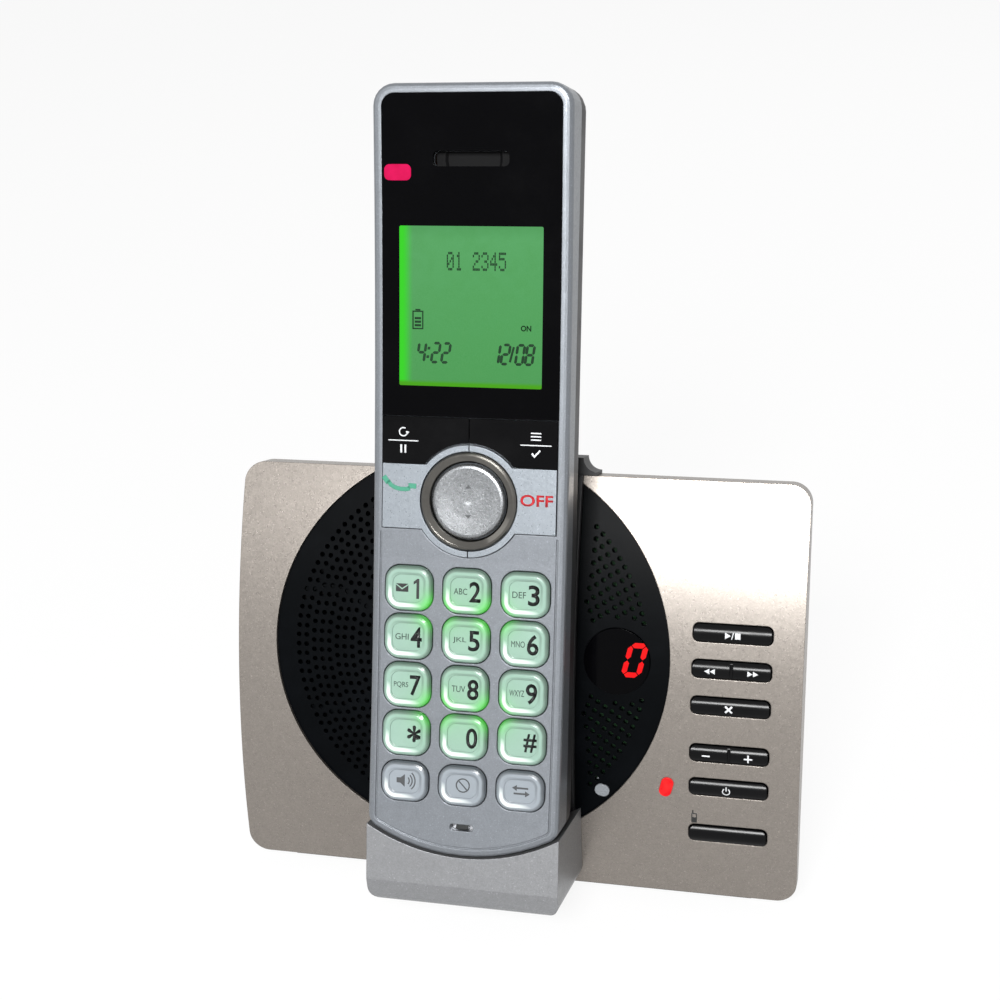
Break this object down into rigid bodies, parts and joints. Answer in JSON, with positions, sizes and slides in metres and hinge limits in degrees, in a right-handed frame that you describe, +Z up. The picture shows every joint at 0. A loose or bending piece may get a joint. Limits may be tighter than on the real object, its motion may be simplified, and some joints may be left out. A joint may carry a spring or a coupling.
{
  "type": "answering machine",
  "caption": "Cordless telephone handset docked upright in a leaned-back answering-system base with a round speaker grille, message counter and bar keys.",
  "frame": {"origin": "centre of the bounding box at the table, under the rubber feet", "axes": "+X to the right as seen from the front, +Y from the keypad side to the back, +Z up from the table"},
  "size_m": [0.1408, 0.092, 0.1959],
  "materials": {
    "silver_plastic": "fine metallic flake, satin",
    "grille_black": "satin black with a bluish sheen",
    "case_black": "fine grained black",
    "lens_black": "polished",
    "soft_black": "satin gloss",
    "bar_black": "glossy",
    "key_green": "milky translucent, lit green from below",
    "key_clear": "milky translucent",
    "nav_silver": "blasted satin",
    "bright_chrome": "polished",
    "contact_metal": "plated strip",
    "screw_steel": "zinc plated",
    "foot_rubber": "matt",
    "mat_rubber": "milky silicone",
    "board_green": "solder mask",
    "driver_black": "paper cone and steel basket",
    "display_green": "backlit display",
    "digit_red": "dark red display",
    "light_red": "clear red light guide",
    "light_grey": "clear grey light guide",
    "light_pink": "clear lit light guide",
    "cell_wrap": "shrink film"
  },
  "bodies": {
    "base": {"faceplate": "silver_plastic", "speaker_grille": "grille_black", "handset_channel": "case_black", "cradle_chin": "silver_plastic", "message_window": "lens_black", "message_display": "digit_red", "answer_light": "light_red", "in_use_light": "light_grey", "base_housing": "case_black", "base_board": "board_green", "base_speaker": "driver_black", "line_socket": "case_black", "power_socket": "case_black", "rubber_feet": "foot_rubber", "housing_screws": "screw_steel"},
    "handset": {"handset_front": "silver_plastic", "display_lens": "lens_black", "lcd_module": "display_green", "earpiece": "driver_black", "charge_light": "light_pink", "nav_ring": "bright_chrome", "keypad_mat": "mat_rubber", "handset_board": "board_green", "microphone": "screw_steel", "handset_back": "case_black", "battery_pack": "cell_wrap", "charge_plates": "contact_metal", "ringer": "screw_steel"},
    "battery_cover": {"battery_cover": "case_black"},
    "nav_key": {"nav_key": "nav_silver"},
    "skip_rocker": {"skip_rocker": "bar_black"},
    "volume_rocker": {"volume_rocker": "bar_black"},
    "play_stop_key": {"play_stop_key": "bar_black"},
    "erase_key": {"erase_key": "bar_black"},
    "answer_on_key": {"answer_on_key": "bar_black"},
    "find_handset_key": {"find_handset_key": "bar_black"},
    "soft_key_left": {"soft_key_left": "soft_black"},
    "soft_key_right": {"soft_key_right": "soft_black"},
    "talk_key": {"talk_key": "silver_plastic"},
    "off_key": {"off_key": "silver_plastic"},
    "key_1": {"key_1": "key_green"},
    "key_2": {"key_2": "key_green"},
    "key_3": {"key_3": "key_green"},
    "key_4": {"key_4": "key_green"},
    "key_5": {"key_5": "key_green"},
    "key_6": {"key_6": "key_green"},
    "key_7": {"key_7": "key_green"},
    "key_8": {"key_8": "key_green"},
    "key_9": {"key_9": "key_green"},
    "key_star": {"key_star": "key_green"},
    "key_0": {"key_0": "key_green"},
    "key_hash": {"key_hash": "key_green"},
    "key_speaker": {"key_speaker": "key_clear"},
    "key_mute": {"key_mute": "key_clear"},
    "key_intercom": {"key_intercom": "key_clear"},
    "charge_spring_left": {"charge_spring_left": "contact_metal"},
    "charge_spring_right": {"charge_spring_right": "contact_metal"}
  },
  "joints": [
    {"name": "handset_lift", "type": "slide", "parent": "base", "child": "handset", "axis": [0, 0.309, 0.9511], "range_m": [0, 0.13]},
    {"name": "battery_cover_slide", "type": "slide", "parent": "handset", "child": "battery_cover", "axis": [0, -0.309, -0.9511], "range_m": [0, 0.005]},
    {"name": "nav_rock", "type": "hinge", "parent": "handset", "child": "nav_key", "pos_m": [-0.0054, -0.0142, 0.10592], "axis": [1, 0, 0], "range_deg": [-2.5, 2.5], "stiffness_Nm_per_rad": 0.02},
    {"name": "skip_rock", "type": "hinge", "parent": "base", "child": "skip_rocker", "pos_m": [0.0537, -0.00609, 0.06121], "axis": [0, 0.3193, 0.9477], "range_deg": [-3, 3], "stiffness_Nm_per_rad": 0.02},
    {"name": "volume_rock", "type": "hinge", "parent": "base", "child": "volume_rocker", "pos_m": [0.0537, -0.01159, 0.04146], "axis": [0, 0.2164, 0.9763], "range_deg": [-3, 3], "stiffness_Nm_per_rad": 0.02},
    {"name": "play_stop_press", "type": "slide", "parent": "base", "child": "play_stop_key", "axis": [0, 0.9324, -0.3615], "range_m": [0, 0.0006], "stiffness_N_per_m": 300, "springref_m": -0.002},
    {"name": "erase_press", "type": "slide", "parent": "base", "child": "erase_key", "axis": [0, 0.9613, -0.2755], "range_m": [0, 0.0006], "stiffness_N_per_m": 300, "springref_m": -0.002},
    {"name": "answer_on_press", "type": "slide", "parent": "base", "child": "answer_on_key", "axis": [0, 0.985, -0.1726], "range_m": [0, 0.0006], "stiffness_N_per_m": 300, "springref_m": -0.002},
    {"name": "find_handset_press", "type": "slide", "parent": "base", "child": "find_handset_key", "axis": [0, 0.9939, -0.1099], "range_m": [0, 0.0006], "stiffness_N_per_m": 300, "springref_m": -0.002},
    {"name": "soft_key_left_press", "type": "slide", "parent": "handset", "child": "soft_key_left", "axis": [0, 0.9531, -0.3025], "range_m": [0, 0.0005], "stiffness_N_per_m": 300, "springref_m": -0.002},
    {"name": "soft_key_right_press", "type": "slide", "parent": "handset", "child": "soft_key_right", "axis": [0, 0.9531, -0.3025], "range_m": [0, 0.0005], "stiffness_N_per_m": 300, "springref_m": -0.002},
    {"name": "talk_key_press", "type": "slide", "parent": "handset", "child": "talk_key", "axis": [0, 0.9499, -0.3124], "range_m": [0, 0.0005], "stiffness_N_per_m": 300, "springref_m": -0.002},
    {"name": "off_key_press", "type": "slide", "parent": "handset", "child": "off_key", "axis": [0, 0.9499, -0.3124], "range_m": [0, 0.0005], "stiffness_N_per_m": 300, "springref_m": -0.002},
    {"name": "key_1_press", "type": "slide", "parent": "handset", "child": "key_1", "axis": [0, 0.9444, -0.3287], "range_m": [0, 0.0005], "stiffness_N_per_m": 300, "springref_m": -0.002},
    {"name": "key_2_press", "type": "slide", "parent": "handset", "child": "key_2", "axis": [0, 0.9444, -0.3287], "range_m": [0, 0.0005], "stiffness_N_per_m": 300, "springref_m": -0.002},
    {"name": "key_3_press", "type": "slide", "parent": "handset", "child": "key_3", "axis": [0, 0.9444, -0.3287], "range_m": [0, 0.0005], "stiffness_N_per_m": 300, "springref_m": -0.002},
    {"name": "key_4_press", "type": "slide", "parent": "handset", "child": "key_4", "axis": [0, 0.9414, -0.3373], "range_m": [0, 0.0005], "stiffness_N_per_m": 300, "springref_m": -0.002},
    {"name": "key_5_press", "type": "slide", "parent": "handset", "child": "key_5", "axis": [0, 0.9414, -0.3373], "range_m": [0, 0.0005], "stiffness_N_per_m": 300, "springref_m": -0.002},
    {"name": "key_6_press", "type": "slide", "parent": "handset", "child": "key_6", "axis": [0, 0.9414, -0.3373], "range_m": [0, 0.0005], "stiffness_N_per_m": 300, "springref_m": -0.002},
    {"name": "key_7_press", "type": "slide", "parent": "handset", "child": "key_7", "axis": [0, 0.9383, -0.3458], "range_m": [0, 0.0005], "stiffness_N_per_m": 300, "springref_m": -0.002},
    {"name": "key_8_press", "type": "slide", "parent": "handset", "child": "key_8", "axis": [0, 0.9383, -0.3458], "range_m": [0, 0.0005], "stiffness_N_per_m": 300, "springref_m": -0.002},
    {"name": "key_9_press", "type": "slide", "parent": "handset", "child": "key_9", "axis": [0, 0.9383, -0.3458], "range_m": [0, 0.0005], "stiffness_N_per_m": 300, "springref_m": -0.002},
    {"name": "key_star_press", "type": "slide", "parent": "handset", "child": "key_star", "axis": [0, 0.9351, -0.3544], "range_m": [0, 0.0005], "stiffness_N_per_m": 300, "springref_m": -0.002},
    {"name": "key_0_press", "type": "slide", "parent": "handset", "child": "key_0", "axis": [0, 0.9351, -0.3544], "range_m": [0, 0.0005], "stiffness_N_per_m": 300, "springref_m": -0.002},
    {"name": "key_hash_press", "type": "slide", "parent": "handset", "child": "key_hash", "axis": [0, 0.9351, -0.3544], "range_m": [0, 0.0005], "stiffness_N_per_m": 300, "springref_m": -0.002},
    {"name": "key_speaker_press", "type": "slide", "parent": "handset", "child": "key_speaker", "axis": [0, 0.9318, -0.3629], "range_m": [0, 0.0005], "stiffness_N_per_m": 300, "springref_m": -0.002},
    {"name": "key_mute_press", "type": "slide", "parent": "handset", "child": "key_mute", "axis": [0, 0.9318, -0.3629], "range_m": [0, 0.0005], "stiffness_N_per_m": 300, "springref_m": -0.002},
    {"name": "key_intercom_press", "type": "slide", "parent": "handset", "child": "key_intercom", "axis": [0, 0.9318, -0.3629], "range_m": [0, 0.0005], "stiffness_N_per_m": 300, "springref_m": -0.002},
    {"name": "charge_spring_left_press", "type": "slide", "parent": "base", "child": "charge_spring_left", "axis": [0, -0.309, -0.9511], "range_m": [0, 0.0004], "stiffness_N_per_m": 300, "springref_m": -0.001},
    {"name": "charge_spring_right_press", "type": "slide", "parent": "base", "child": "charge_spring_right", "axis": [0, -0.309, -0.9511], "range_m": [0, 0.0004], "stiffness_N_per_m": 300, "springref_m": -0.001}
  ]
}
